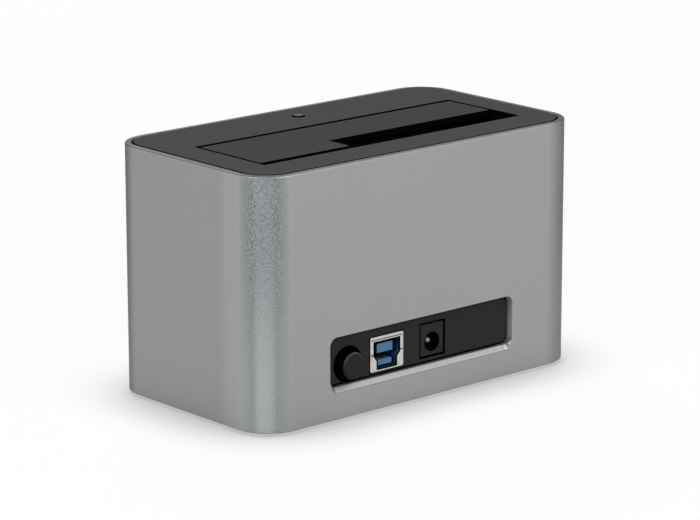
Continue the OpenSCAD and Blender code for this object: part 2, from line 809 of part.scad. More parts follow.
module dc_jack_leaf() {
    slot_low = dc_bore_z - dc_bore_d / 2 - dc_leaf_slot;
    color("#c4c6c8")
    block([dc_x - dc_leaf_w / 2, dc_face - dc_bore_l, slot_low],
          [dc_x + dc_leaf_w / 2, dc_face - dc_bore_l + dc_leaf_l, slot_low + dc_leaf_t]);
}

// Push switch under the board, hollow for its plunger
module switch_body() {
    hole = plunger_w + 2 * plunger_fit;
    depth = plunger_in + button_travel + 1;
    color("#2c2d30")
    difference() {
        block([button_x - switch_w / 2, switch_front - switch_len, switch_low],
              [button_x + switch_w / 2, switch_front, board_z]);
        inward(button_x, switch_front + eps, button_z, depth) square(hole, center = true);
    }
}

module switch_plunger() {
    front = button_back + plunger_socket;
    back = switch_front - plunger_in;
    color("#e2e2de") inward(button_x, front, button_z, front - back) square(plunger_w, center = true);
}

// Round cap, pressed on to the plunger
module power_button() {
    color("#1f2022")
    difference() {
        translate([button_x, button_back, button_z])
            rotate([-90, 0, 0])
                rotate_extrude()
                    polygon([[0, 0], [button_d / 2, 0], [button_d / 2, button_len - button_c],
                             [button_d / 2 - button_c, button_len], [0, button_len]]);
        inward(button_x, button_back + plunger_socket, button_z, plunger_socket + eps) square(plunger_w, center = true);
    }
}

// Black panel: a flange inside the shell and a low pad that fills the window
module rear_panel() {
    flange_face = in_y - 0.1;
    panel_h = panel_high - panel_low;
    panel_z = (panel_high + panel_low) / 2;
    color("#2d2d2e")
    difference() {
        union() {
            inward(window_x, flange_face, panel_z, panel_t) round_rect(window_w + 2 * panel_flange, panel_h, 1.5);
            inward(window_x, panel_face, window_z, panel_face - flange_face + eps)
                round_rect(window_w - 2 * pad_fit, window_h - 2 * pad_fit, window_r - pad_fit);
        }
        inward(usb_x, panel_face + eps, usb_z, panel_face - panel_back + 2 * eps)
            square([usb_w + 2 * port_fit, usb_h + 2 * port_fit], center = true);
        inward(dc_x, panel_face + eps, dc_z, panel_face - panel_back + 2 * eps)
            square([dc_w + 2 * dc_fit, dc_h + 2 * dc_fit], center = true);
        rod_y(button_x, panel_back - eps, panel_face + eps, button_z, button_well_d / 2);
    }
}

// Plate in the shell's lower rebate, with a locating lip and two fingers behind the rear panel
module base_cover() {
    lip_w = 2 * (in_x - lip_fit);
    lip_d = 2 * (in_y - lip_fit);
    lip_r = in_r - lip_fit;
    finger_x = window_w / 2 + panel_flange - finger_w;
    color("#26272a")
    difference() {
        union() {
            translate([0, 0, shell_low])
                linear_extrude(base_t) round_rect(plate_w, plate_d, plate_r);
            translate([0, 0, base_top - eps])
                linear_extrude(lip_h + eps)
                    difference() {
                        round_rect(lip_w, lip_d, lip_r);
                        round_rect(lip_w - 2 * lip_t, lip_d - 2 * lip_t, lip_r - lip_t);
                    }
            for (sx = [-1, 1])
                translate([window_x + sx * (finger_x + finger_w / 2), panel_back - 0.1 - finger_t / 2, base_top - eps])
                    linear_extrude(finger_top - base_top) square([finger_w, finger_t], center = true);
        }
        at_posts() {
            translate([0, 0, shell_low - eps]) cylinder(r = shank_r + hole_fit, h = base_t + 2 * eps);
            translate([0, 0, shell_low - eps]) cylinder(r = head_r + hole_fit, h = base_sink + eps);
        }
        at_feet() translate([0, 0, shell_low - eps]) cylinder(d = foot_d, h = foot_sink + eps);
    }
}

module base_screws() {
    color("#8f9193") at_posts() translate([0, 0, shell_low + base_sink]) screw(base_t - base_sink + base_screw_l);
}

module rubber_feet() {
    foot_h = foot_proud + foot_sink;
    color("#161617")
    at_feet()
        rotate_extrude()
            polygon([[0, 0], [foot_d / 2 - foot_c, 0], [foot_d / 2, foot_c], [foot_d / 2, foot_h], [0, foot_h]]);
}

// Flat chip with leads on four sides, under the board
module bridge_chip() {
    size = 7;
    chip_t = 1.4;
    lead_w = 0.3;
    lead_pitch = 0.6;
    lead_out = 1;
    color("#222326")
    translate([chip_at[0], chip_at[1], board_z - chip_t])
        for (turn = [0 : 90 : 270])
            rotate([0, 0, turn]) {
                translate([-size / 2, -size / 2, 0]) cube([size, size, chip_t - 0.1]);
                for (i = [-4 : 4])
                    translate([i * lead_pitch - lead_w / 2, size / 2 - eps, chip_t - 0.3]) cube([lead_w, lead_out, 0.3]);
            }
}

module power_inductor() {
    size = 7;
    height = 4;
    color("#3a3b3e")
    translate([inductor_at[0], inductor_at[1], board_z - height])
        slab(size, size, height, 1.2, 0, 0.4);
}

// Two can capacitors with a groove near the board
module capacitors() {
    can_r = 3.15;
    can_h = 7.7;
    can_c = 0.4;
    groove_in = 0.3;
    groove_low = 2.4;
    groove_high = 1.2;
    color("#b4b6b8")
    for (at = capacitors_at)
        translate([at[0], at[1], board_z - can_h])
            rotate_extrude()
                polygon([[0, 0], [can_r - can_c, 0], [can_r, can_c], [can_r, can_h - groove_low],
                         [can_r - groove_in, can_h - groove_low + can_c],
                         [can_r - groove_in, can_h - groove_high - can_c],
                         [can_r, can_h - groove_high], [can_r, can_h], [0, can_h]]);
}

module crystal() {
    can_l = 10.2;
    can_w = 3.8;
    can_h = 3.4;
    color("#c4c6c8")
    translate([crystal_at[0], crystal_at[1], board_z - can_h])
        linear_extrude(can_h) round_rect(can_l, can_w, can_w / 2 - eps);
}

module status_light() {
    color("#e8ecf2")
    translate([-status_light_w / 2, light_at - status_light_d / 2, board_top])
        cube([status_light_w, status_light_d, status_light_h]);
}

aluminium_shell();
top_cover();
slot_flap();
hinge_pin();
flap_spring();
light_pipe();
drive_guide();
guide_screws();
main_board();
board_screws();
sata_housing();
sata_contacts();
usb_shell();
usb_housing();
usb_tongues();
usb_contacts();
dc_jack_body();
dc_jack_pin();
dc_jack_leaf();
switch_body();
switch_plunger();
power_button();
rear_panel();
base_cover();
base_screws();
rubber_feet();
bridge_chip();
power_inductor();
capacitors();
crystal();
status_light();
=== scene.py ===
import math

import bmesh
import bpy
from mathutils import Matrix, Vector
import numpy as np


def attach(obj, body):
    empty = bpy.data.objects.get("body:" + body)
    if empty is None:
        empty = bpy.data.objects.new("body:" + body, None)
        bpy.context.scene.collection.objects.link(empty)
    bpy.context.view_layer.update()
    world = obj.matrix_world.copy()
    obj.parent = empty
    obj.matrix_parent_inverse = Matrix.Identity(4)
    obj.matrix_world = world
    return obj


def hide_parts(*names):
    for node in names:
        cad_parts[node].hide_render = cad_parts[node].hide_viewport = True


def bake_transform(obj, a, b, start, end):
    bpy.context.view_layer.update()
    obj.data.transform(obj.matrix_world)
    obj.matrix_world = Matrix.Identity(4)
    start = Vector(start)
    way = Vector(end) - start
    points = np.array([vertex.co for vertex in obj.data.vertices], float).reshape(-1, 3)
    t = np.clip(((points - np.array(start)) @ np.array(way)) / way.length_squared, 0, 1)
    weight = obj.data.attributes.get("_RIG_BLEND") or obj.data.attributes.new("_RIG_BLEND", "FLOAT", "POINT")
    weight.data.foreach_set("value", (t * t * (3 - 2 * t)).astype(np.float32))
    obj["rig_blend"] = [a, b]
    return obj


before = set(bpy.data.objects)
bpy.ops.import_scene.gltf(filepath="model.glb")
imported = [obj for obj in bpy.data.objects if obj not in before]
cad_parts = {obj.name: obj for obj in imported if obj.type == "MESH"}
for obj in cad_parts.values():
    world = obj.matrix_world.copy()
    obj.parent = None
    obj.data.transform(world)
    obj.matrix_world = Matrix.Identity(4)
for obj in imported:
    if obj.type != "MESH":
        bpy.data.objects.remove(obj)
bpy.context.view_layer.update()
mm = 0.001
print("frame loaded:", len(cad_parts), "nodes")


# camera, floor and light

cameraSetup = {
    "azimuth": 41.418,  # from straight behind, towards +X
    "pitch": 14.544,
    "roll": 0.095,
    "distance": 1060.0,
    "aside": 0.5155,
    "aimHeight": 38.221,
    "lens": 170.141,
    "sensor": 36,
    "clipEnd": 20,
}


def towards(azimuth, rise):
    a, e = math.radians(azimuth), math.radians(rise)
    return Vector((math.sin(a) * math.cos(e), math.cos(a) * math.cos(e), math.sin(e)))


def placeCamera(setup):
    forward = -towards(setup["azimuth"], setup["pitch"])
    right = forward.cross(Vector((0, 0, 1))).normalized()
    up = right.cross(forward)
    target = right * setup["aside"] + Vector((0, 0, setup["aimHeight"]))
    place = Matrix.Translation((target - forward * setup["distance"]) * mm)
    turn = Matrix((right, up, -forward)).transposed().to_4x4()
    roll = Matrix.Rotation(math.radians(-setup["roll"]), 4, "Z")
    lens = bpy.data.cameras.new("photoCamera")
    lens.lens = setup["lens"]
    lens.sensor_width = setup["sensor"]
    lens.sensor_fit = "HORIZONTAL"
    lens.clip_end = setup["clipEnd"]
    camera = bpy.data.objects.new("photoCamera", lens)
    camera.matrix_world = place @ turn @ roll
    bpy.context.scene.collection.objects.link(camera)
    bpy.context.scene.camera = camera


# wraps a shader socket, so that a sum of values adds its own Math nodes
class Shade:
    def __init__(self, tree, socket=None):
        self.tree = tree
        self.socket = socket

    def node(self, kind, settings=None, inputs=None, out=0):
        made = self.tree.nodes.new(kind)
        for key, value in (settings or {}).items():
            setattr(made, key, value)
        for key, value in (inputs or {}).items():
            if isinstance(value, Shade):
                self.tree.links.new(value.socket, made.inputs[key])
            else:
                made.inputs[key].default_value = value
        return Shade(self.tree, made.outputs[out]) if len(made.outputs) else made

    def outputs(self, kind, inputs=None):
        made = self.node(kind, {}, inputs).socket.node
        return {socket.name: Shade(self.tree, socket) for socket in made.outputs}

    def maths(self, operation, first, second):
        return self.node("ShaderNodeMath", {"operation": operation}, {0: first, 1: second})

    def __add__(self, other):
        return self.maths("ADD", self, other)

    def __radd__(self, other):
        return self.maths("ADD", other, self)

    def __sub__(self, other):
        return self.maths("SUBTRACT", self, other)

    def __rsub__(self, other):
        return self.maths("SUBTRACT", other, self)

    def __mul__(self, other):
        return self.maths("MULTIPLY", self, other)

    def __rmul__(self, other):
        return self.maths("MULTIPLY", other, self)

    def __abs__(self):
        return self.maths("ABSOLUTE", self, 0)

    def above(self, floor):
        return self.maths("MAXIMUM", self, floor)

    def clamped(self, low, high, toLow=0, toHigh=1):
        return self.node("ShaderNodeMapRange",
                         {"clamp": True, "interpolation_type": "SMOOTHSTEP"},
                         {0: self, 1: low, 2: high, 3: toLow, 4: toHigh})

    def noise(self, place, scale, detail=2, rough=0.5):
        return self.node("ShaderNodeTexNoise", {}, {
            "Vector": place, "Scale": scale, "Detail": detail, "Roughness": rough})

    def blend(self, factor, first, second):
        return self.node("ShaderNodeMix", {"data_type": "RGBA"}, {0: factor, 6: first, 7: second}, 2)

    def openness(self, reach, samples):
        return self.node("ShaderNodeAmbientOcclusion", {"samples": samples}, {"Distance": reach}, 1)

    def attribute(self, name):
        return self.node("ShaderNodeAttribute", {"attribute_name": name}, out=2)

    def bump(self, height, strength, depth):
        return self.node("ShaderNodeBump", {}, {
            "Strength": strength, "Distance": depth, "Height": height})


def newMaterial(name):
    material = bpy.data.materials.new(name)
    material.use_nodes = True
    material.node_tree.nodes.clear()
    return material, Shade(material.node_tree)


def closeMaterial(shade, surface):
    shade.node("ShaderNodeOutputMaterial", {}, {"Surface": surface})


def closePrincipled(shade, inputs):
    closeMaterial(shade, shade.node("ShaderNodeBsdfPrincipled", {}, inputs))


def seenDirectly(shade):
    # camera, mirror and see-through rays all meet the plain white surround
    rays = shade.outputs("ShaderNodeLightPath")
    seen = rays["Is Camera Ray"] + rays["Is Glossy Ray"] + rays["Is Transmission Ray"]
    return seen.clamped(0, 1)


plainWhite = (1, 1, 1, 1)
stageSetup = {
    "floorSize": 6.0,
    "floorColour": (0.9, 0.895, 0.9, 1),
    "floorGlow": 0.93,  # how much of the seen floor is plain white
    "shadow": (0.52, 0.51, 0.53, 1),  # where the object stands on it
    "shadowReach": 0.03,
    "shadowFrom": 0.35,
    "shadowSamples": 16,
    "ambient": 0.24,
    "lampAim": 0.04,
    "lamps": [
        # name, azimuth from behind, height angle, distance, width, height, watts
        ("rearLamp", -8, 28, 1.6, 0.7, 0.6, 18),
        ("sideLamp", 84, 26, 1.6, 0.7, 0.6, 12.6),
        ("frontLamp", 205, 34, 1.6, 1.0, 0.8, 10),
    ],
}


def buildFloor(setup):
    bm = bmesh.new()
    bmesh.ops.create_grid(bm, x_segments=1, y_segments=1, size=setup["floorSize"] / 2)
    mesh = bpy.data.meshes.new("floor")
    bm.to_mesh(mesh)
    bm.free()
    floor = bpy.data.objects.new("floor", mesh)
    bpy.context.scene.collection.objects.link(floor)
    material, shade = newMaterial("paleFloor")
    matte = shade.node("ShaderNodeBsdfDiffuse", {}, {"Color": setup["floorColour"]})
    openSky = shade.openness(setup["shadowReach"], setup["shadowSamples"])
    tone = shade.blend(openSky.clamped(setup["shadowFrom"], 1), setup["shadow"], plainWhite)
    glow = shade.node("ShaderNodeEmission", {}, {"Color": tone, "Strength": 1.0})
    factor = seenDirectly(shade) * setup["floorGlow"]
    closeMaterial(shade, shade.node("ShaderNodeMixShader", {}, {0: factor, 1: matte, 2: glow}))
    mesh.materials.append(material)


def buildWorld(setup):
    world = bpy.data.worlds.new("studio")
    world.use_nodes = True
    world.node_tree.nodes.clear()
    bpy.context.scene.world = world
    shade = Shade(world.node_tree)
    dim, white = (
        shade.node("ShaderNodeBackground", {}, {"Color": plainWhite, "Strength": strength})
        for strength in (setup["ambient"], 1.0))
    mixed = shade.node("ShaderNodeMixShader", {}, {0: seenDirectly(shade), 1: dim, 2: white})
    shade.node("ShaderNodeOutputWorld", {}, {"Surface": mixed})


def hangLamps(setup):
    for name, azimuth, rise, distance, width, height, watts in setup["lamps"]:
        toLamp = towards(azimuth, rise)
        lamp = bpy.data.lights.new(name, "AREA")
        lamp.shape = "RECTANGLE"
        lamp.size, lamp.size_y, lamp.energy = width, height, watts
        holder = bpy.data.objects.new(name, lamp)
        holder.location = toLamp * distance + Vector((0, 0, setup["lampAim"]))
        holder.rotation_euler = toLamp.to_track_quat("Z", "Y").to_euler()
        bpy.context.scene.collection.objects.link(holder)


placeCamera(cameraSetup)
buildFloor(stageSetup)
buildWorld(stageSetup)
hangLamps(stageSetup)
bpy.context.scene.view_settings.view_transform = "Standard"
print("camera and stage set")


# finishes

midBand = (0.3, 0.7)  # the parts of a noise's range that colours and roughness follow
wideBand = (0.25, 0.75)
edgeWearAndLightLook = {"scale": 260, "share": (0.45, 1)}


def objectPlace(shade):
    return shade.node("ShaderNodeTexCoord", out=3)


def wornAndLitEdge(shade):
    # the bevels carry their own mask of paler edges, partly wear and partly painted highlight lines, broken
    # up here so that it doesn't read as a drawn line
    broken = shade.noise(objectPlace(shade), edgeWearAndLightLook["scale"])
    return shade.attribute("edgeWearAndLight") * broken.clamped(*midBand, *edgeWearAndLightLook["share"])


def tint(colour, factor):
    return (*(min(1, c * factor) for c in colour), 1)


def spread(rough, reach):
    return [rough + change for change in reach]


mouldedLooks = {
    "coverPlastic": dict(colour=(0.066, 0.0675, 0.071), rough=0.7, gloss=0.002,
                         grain=2600, bump=0.045, edge=1.35),
    "flapPlastic": dict(colour=(0.053, 0.0545, 0.058), rough=0.66, gloss=0.002,
                        grain=2600, bump=0.045, edge=1.9),
    # near-black painted shade for walls in slots, gaps and bores
    "slotShadeBlack": dict(colour=(0.0015, 0.0015, 0.0016), rough=0.75, gloss=0.004,
                      grain=2000, bump=0.03, edge=1.5),
    "guidePlastic": dict(colour=(0.011, 0.011, 0.012), rough=0.55, gloss=0.08,
                         grain=1800, bump=0.03, edge=1.6),
    "panelPlastic": dict(colour=(0.0192, 0.0192, 0.0198), rough=0.6, gloss=0.02,
                         grain=2400, bump=0.05, edge=1.5),
    "blackMoulding": dict(colour=(0.016, 0.016, 0.017), rough=0.4, gloss=0.2,
                          grain=1500, bump=0.02, edge=1.6),
    # the cap's bevel tint carries a painted highlight
    "buttonPlastic": dict(colour=(0.011, 0.011, 0.0115), rough=0.45, gloss=0.08,
                          grain=2000, bump=0.03, edge=9),
    "plungerPlastic": dict(colour=(0.72, 0.72, 0.69), rough=0.4, gloss=0.4,
                           grain=1500, bump=0.02, edge=1.05),
    "portBlue": dict(colour=(0.0515, 0.133, 0.224), rough=0.45, gloss=0.1,
                     grain=1400, bump=0.015, edge=1.3),
    # painted shade: the port's blue, darkened for the housing deep in the socket
    "shadedPortBlue": dict(colour=(0.012, 0.05, 0.125), rough=0.4, gloss=0.2,
                     grain=1400, bump=0.015, edge=1.6),
    "componentBody": dict(colour=(0.03, 0.03, 0.032), rough=0.55, gloss=0.3,
                          grain=2200, bump=0.05, edge=1.4),
    "footRubber": dict(colour=(0.02, 0.02, 0.02), rough=0.75, gloss=0.1,
                       grain=1300, bump=0.12, edge=1.3),
}
mouldedBase = {
    "cloud": 38,  # broad, faint patches
    "cloudTints": (0.93, 1.07),
    "grainBand": (0.35, 0.65),
    "grainTint": 1.12,
    "edgeShare": 0.6,
    "edgePolish": 0.07,
    "hollowShadeReach": 0.0035,  # painted shade: inner corners and gaps darken within this distance
    "hollowShadeSamples": 6,
    "hollowShadeBand": (0.15, 0.85),
    "hollowShadeTint": 0.15,
    "roughSpread": (-0.04, 0.05),
    "bumpGain": 5,
    "bumpDepth": 0.00006,
}


def mouldedFinish(name, look, base):
    material, shade = newMaterial(name)
    place, colour = objectPlace(shade), look["colour"]
    fine = shade.noise(place, look["grain"], 2, 0.6)
    cloudy = shade.noise(place, base["cloud"], 3)
    edge = wornAndLitEdge(shade)
    # painted shade in inner corners, creases and gaps
    hollowShade = shade.openness(base["hollowShadeReach"], base["hollowShadeSamples"]).clamped(*base["hollowShadeBand"])
    body = shade.blend(cloudy.clamped(*midBand), *(tint(colour, t) for t in base["cloudTints"]))
    speckled = shade.blend(fine.clamped(*base["grainBand"]), body, tint(colour, base["grainTint"]))
    clean = shade.blend(edge * base["edgeShare"], speckled, tint(colour, look["edge"]))
    rough = cloudy.clamped(*wideBand, *spread(look["rough"], base["roughSpread"]))
    closePrincipled(shade, {
        "Base Color": shade.blend(hollowShade, tint(colour, base["hollowShadeTint"]), clean),
        "Roughness": rough - edge * base["edgePolish"],
        "Normal": shade.bump(fine, look["bump"] * base["bumpGain"], base["bumpDepth"]),
        "Specular IOR Level": look["gloss"]})
    return material


shellLook = {
    "colour": (0.3, 0.313, 0.302),
    "pale": (0.43, 0.44, 0.44),
    "edgeTint": (0.3, 0.3, 0.3, 1),
    "metallic": 0.8,
    "gloss": 0.1,
    "rough": 0.45,
    "roughSpread": (-0.05, 0.06),
    "bump": 0.5,
    "bumpDepth": 0.00006,
    "blast": 2100,  # pits that the blasting left
    "blastTints": (0.94, 1.05),
    "sparkle": 3600,
    "sparkleBand": (0.6, 0.78),
    "sparkleShare": 0.25,
    "sparklePolish": 0.1,
    "drift": 22,
    "driftShare": 0.25,
    "driftTint": 0.95,
    "strip": (0.0165, 0.021),  # a painted highlight: a paler strip on the ends, just before the rear corners
    "endFace": (0.0655, 0.0665),
    "stripShare": 0.4,
    "stripTint": 1.32,
    "corner": (0.14, 0.152, 0.154),  # painted shade on the round corners' flanks and a painted highlight down their middle; their grain is coarser and bluer than the flats'
    "glint": (0.44, 0.47, 0.485),
    "cornerAt": (0.0545, 0.0247),
    "cornerRadius": 0.0125,
    "height": (0.005, 0.075),  # the shares below go from the foot to the top of the tube
    "flankBend": (0.04, 0.44),
    "flankShare": (0.48, 1),
    "coreBend": (0.4, 0.5),
    "coreShare": (0.5, 0.16),
    "grainBend": (0.12, 0.42),
    "grainShare": (0.24, 0.47),
    "grain": 2700,
    "grainBand": (0.45, 0.575),
    "farEdge": (0.0522, 0.0552),  # painted shade: the flats darken a little before the corners at the -X end
    "farTurn": (0.0562, 0.0595),
    "farShare": 0.25,
    "farTint": 0.45,
    "cutLightTint": 1.86,
    "sawnShadeTint": 0.2,
    "wornLitShare": 0.3,
    "wornLitTint": 1.1,
}


def blastedAluminium(name, look):
    material, shade = newMaterial(name)
    place, base = objectPlace(shade), look["colour"]
    pale, glint, corner = ((*look[key], 1) for key in ("pale", "glint", "corner"))
    axes = shade.outputs("ShaderNodeSeparateXYZ", {0: place})
    x, y, z = axes["X"], axes["Y"], axes["Z"]
    reach = (abs(x) - look["cornerAt"][0]).above(0) * (abs(y) - look["cornerAt"][1]).above(0)
    bend = reach * (1 / look["cornerRadius"] ** 2)  # 0 on the flats, 0.5 in the middle of a corner
    up = z.clamped(*look["height"])

    pits = shade.noise(place, look["blast"], 3, 0.65)
    body = shade.blend(pits.clamped(*midBand), *(tint(base, t) for t in look["blastTints"]))
    drift = shade.noise(place, look["drift"]).clamped(*midBand, 0, look["driftShare"])
    drawn = shade.blend(drift, body, tint(base, look["driftTint"]))
    strip = y.clamped(*look["strip"]) * abs(x).clamped(*look["endFace"])
    paler = shade.blend(strip * look["stripShare"], drawn, tint(base, look["stripTint"]))
    sparkle = shade.noise(place, look["sparkle"], 1).clamped(*look["sparkleBand"])
    bright = shade.blend(sparkle * look["sparkleShare"], paler, pale)

    # painted shade on the corners' flanks, then a painted highlight with glints down their middle
    side = bend.clamped(*look["flankBend"]) * up.clamped(0, 1, *look["flankShare"])
    flank = shade.blend(side, bright, corner)
    farShade = (0 - x).clamped(*look["farEdge"]) - (0 - x).clamped(*look["farTurn"])
    turned = shade.blend(farShade * look["farShare"], flank, tint(base, look["farTint"]))
    core = bend.clamped(*look["coreBend"]) * up.clamped(0, 1, *look["coreShare"])
    centre = shade.blend(core, turned, glint)
    grain = shade.noise(place, look["grain"], 2, 0.6).clamped(*look["grainBand"])
    coarse = bend.clamped(*look["grainBend"]) * grain * up.clamped(0, 1, *look["grainShare"])
    grainAndGlints = shade.blend(coarse, centre, glint)

    # painted light and shade on the rim, the sill and the window's ends
    tone = shade.attribute("cutFaceLightTone")
    cutAndLit = shade.blend(tone.above(0), grainAndGlints, tint(look["pale"], look["cutLightTint"]))
    sawnAndShaded = shade.blend((0 - tone).above(0), cutAndLit, tint(base, look["sawnShadeTint"]))
    wornAndLit = wornAndLitEdge(shade) * look["wornLitShare"]
    rough = pits.clamped(*midBand, *spread(look["rough"], look["roughSpread"]))
    closePrincipled(shade, {
        "Base Color": shade.blend(wornAndLit, sawnAndShaded, tint(look["pale"], look["wornLitTint"])),
        "Roughness": rough - sparkle * look["sparklePolish"],
        "Normal": shade.bump(pits, look["bump"], look["bumpDepth"]),
        "Metallic": look["metallic"],
        "Specular IOR Level": look["gloss"],
        "Specular Tint": look["edgeTint"]})
    return material


metalLooks = {
    "brightSteel": dict(colour=(0.62, 0.62, 0.6), rough=0.26, streak=(90, 900, 900), depth=0.14),
    "dullSteel": dict(colour=(0.2, 0.2, 0.2), rough=0.4, streak=(90, 900, 900), depth=0.16),
    "portTin": dict(colour=(0.57, 0.56, 0.532), rough=0.3, streak=(900, 900, 900), depth=0.16),
    "canAluminium": dict(colour=(0.66, 0.66, 0.65), rough=0.32, streak=(600, 600, 60), depth=0.14),
    "goldFlash": dict(colour=(0.83, 0.6, 0.22), rough=0.24, streak=(500, 500, 90), depth=0.12),
    # painted shade: gold darkened for the contacts deep in the USB socket
    "shadedGold": dict(colour=(0.17, 0.13, 0.065), rough=0.5, streak=(500, 90, 500), depth=0.2),
    "seamTin": dict(colour=(0.11, 0.075, 0.055), rough=0.45, streak=(900, 900, 900), depth=0.2),
}
metalBase = {
    "lineTint": 1.04,
    "edgeShare": 0.4,
    "edgeTint": 1.2,
    "roughSpread": (-0.06, 0.1),
    "bump": 0.12,
    "bumpDepth": 0.00003,
}


def drawnMetal(name, look, base):
    material, shade = newMaterial(name)
    colour = look["colour"]
    streaked = shade.node("ShaderNodeMapping", {}, {
        "Vector": objectPlace(shade), "Scale": look["streak"]})
    lines = shade.noise(streaked, 1.0, 3, 0.6)
    dull, clear = tint(colour, 1 - look["depth"]), tint(colour, base["lineTint"])
    body = shade.blend(lines.clamped(*midBand), dull, clear)
    wornAndLit = wornAndLitEdge(shade) * base["edgeShare"]
    closePrincipled(shade, {
        "Base Color": shade.blend(wornAndLit, body, tint(colour, base["edgeTint"])),
        "Roughness": lines.clamped(*wideBand, *spread(look["rough"], base["roughSpread"])),
        "Normal": shade.bump(lines, base["bump"], base["bumpDepth"]),
        "Metallic": 1.0})
    return material


lensLook = {
    "colour": (0.07, 0.073, 0.077),
    "core": (0.115, 0.119, 0.123),
    "haze": 900,
    "hazeBand": (0.2, 0.8),
    "rough": 0.5,
    "roughSpread": (-0.06, 0.1),
    "gloss": 0.02,
}


def frostedLens(name, look):
    material, shade = newMaterial(name)
    haze = shade.noise(objectPlace(shade), look["haze"])
    closePrincipled(shade, {
        "Base Color": shade.blend(haze.clamped(*midBand), (*look["colour"], 1), (*look["core"], 1)),
        "Roughness": haze.clamped(*look["hazeBand"], *spread(look["rough"], look["roughSpread"])),
        "Specular IOR Level": look["gloss"]})
    return material


boardLook = {
    "mask": (0.016, 0.1, 0.05),
    "trace": (0.03, 0.17, 0.085),
    "traceScale": 210,
    "traceWidth": 0.06,
    "traceCell": (1.4, 0.4),
    "traceOffset": 0.35,
    "cloud": 60,
    "cloudBand": (0.42, 0.5),  # where the traces show
    "rough": 0.34,
    "roughSpread": (-0.05, 0.06),
    "bump": 0.25,
    "bumpDepth": 0.00003,
    "coat": 0.3,
}


def solderMask(name, look):
    material, shade = newMaterial(name)
    place = objectPlace(shade)
    cells = shade.node("ShaderNodeTexBrick", {"offset": look["traceOffset"]}, {
        "Vector": place, "Scale": look["traceScale"], "Mortar Size": look["traceWidth"],
        "Brick Width": look["traceCell"][0], "Row Height": look["traceCell"][1]}, 1)
    cloudy = shade.noise(place, look["cloud"])
    traces = cells * cloudy.clamped(*look["cloudBand"])
    closePrincipled(shade, {
        "Base Color": shade.blend(traces, (*look["mask"], 1), (*look["trace"], 1)),
        "Roughness": cloudy.clamped(*midBand, *spread(look["rough"], look["roughSpread"])),
        "Normal": shade.bump(cells, look["bump"], look["bumpDepth"]),
        "Coat Weight": look["coat"]})
    return material


finishes = {
    name: mouldedFinish(name, look, mouldedBase) for name, look in mouldedLooks.items()}
finishes.update({name: drawnMetal(name, look, metalBase) for name, look in metalLooks.items()})
finishes["blastedAluminium"] = blastedAluminium("blastedAluminium", shellLook)
finishes["frostedLens"] = frostedLens("frostedLens", lensLook)
finishes["solderMask"] = solderMask("solderMask", boardLook)
print("finishes made:", len(finishes))


# pieces

weld = 0.002  # in mm: the solids come as loose triangles


def addPiece(name, bm, looks, body, nodes=(), smoothAngle=34):
    limit = math.radians(smoothAngle)
    for face in bm.faces:
        face.smooth = True
    for edge in bm.edges:
        edge.smooth = len(edge.link_faces) == 2 and edge.calc_face_angle(0) < limit
    mesh = bpy.data.meshes.new(name)
    bm.to_mesh(mesh)
    bm.free()
    for look in looks:
        mesh.materials.append(finishes[look])
    piece = bpy.data.objects.new(name, mesh)
    bpy.context.scene.collection.objects.link(piece)
    steady = piece.modifiers.new("flatFacesStayFlat", "WEIGHTED_NORMAL")
    steady.keep_sharp = True
    if body:
        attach(piece, body)
    if nodes:
        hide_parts(*nodes)
    return piece


def solidCopy(node):
    bm = bmesh.new()
    bm.from_mesh(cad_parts[node].data)
    bmesh.ops.remove_doubles(bm, verts=bm.verts[:], dist=weld * mm)
    return bm


def sharpEdges(bm, angle=28):
    limit = math.radians(angle)
    return [e for e in bm.edges if len(e.link_faces) == 2 and e.calc_face_angle(0) > limit]


def softenEdges(bm, edges, width, segments=2):
    # the bevels are marked for paler worn edges and painted highlight lines
    wearAndLight = bm.loops.layers.float.get("edgeWearAndLight") or bm.loops.layers.float.new("edgeWearAndLight")
    made = bmesh.ops.bevel(bm, geom=edges, offset=width, offset_type="OFFSET", segments=segments,
                           profile=0.5, affect="EDGES", clamp_overlap=False, material=-1)
    for face in made["faces"]:
        for loop in face.loops:
            loop[wearAndLight] = 1


